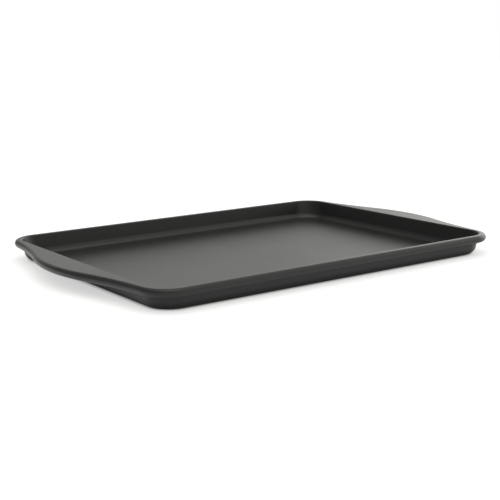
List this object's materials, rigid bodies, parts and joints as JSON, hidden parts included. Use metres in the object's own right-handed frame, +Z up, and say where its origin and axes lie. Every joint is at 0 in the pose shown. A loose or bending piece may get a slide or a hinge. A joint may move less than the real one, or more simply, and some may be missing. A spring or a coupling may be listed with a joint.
{
  "type": "cookie sheet",
  "caption": "Shallow rectangular baking tray with a flat floor, low leaning walls, a rolled rim and a flat, bowed handle flange at each short end.",
  "frame": {"origin": "middle of the floor's underside, on the surface that the tray stands on", "axes": "+X along the length, towards one of the handle flanges; +Y along the width; +Z up, out of the tray's open side"},
  "size_m": [0.438, 0.294, 0.0205],
  "materials": {
    "nonstick_coating": "satin",
    "rim_wire": "drawn"
  },
  "bodies": {
    "root": {"pan_shell": "nonstick_coating", "rim_wire": "rim_wire"}
  },
  "joints": []
}
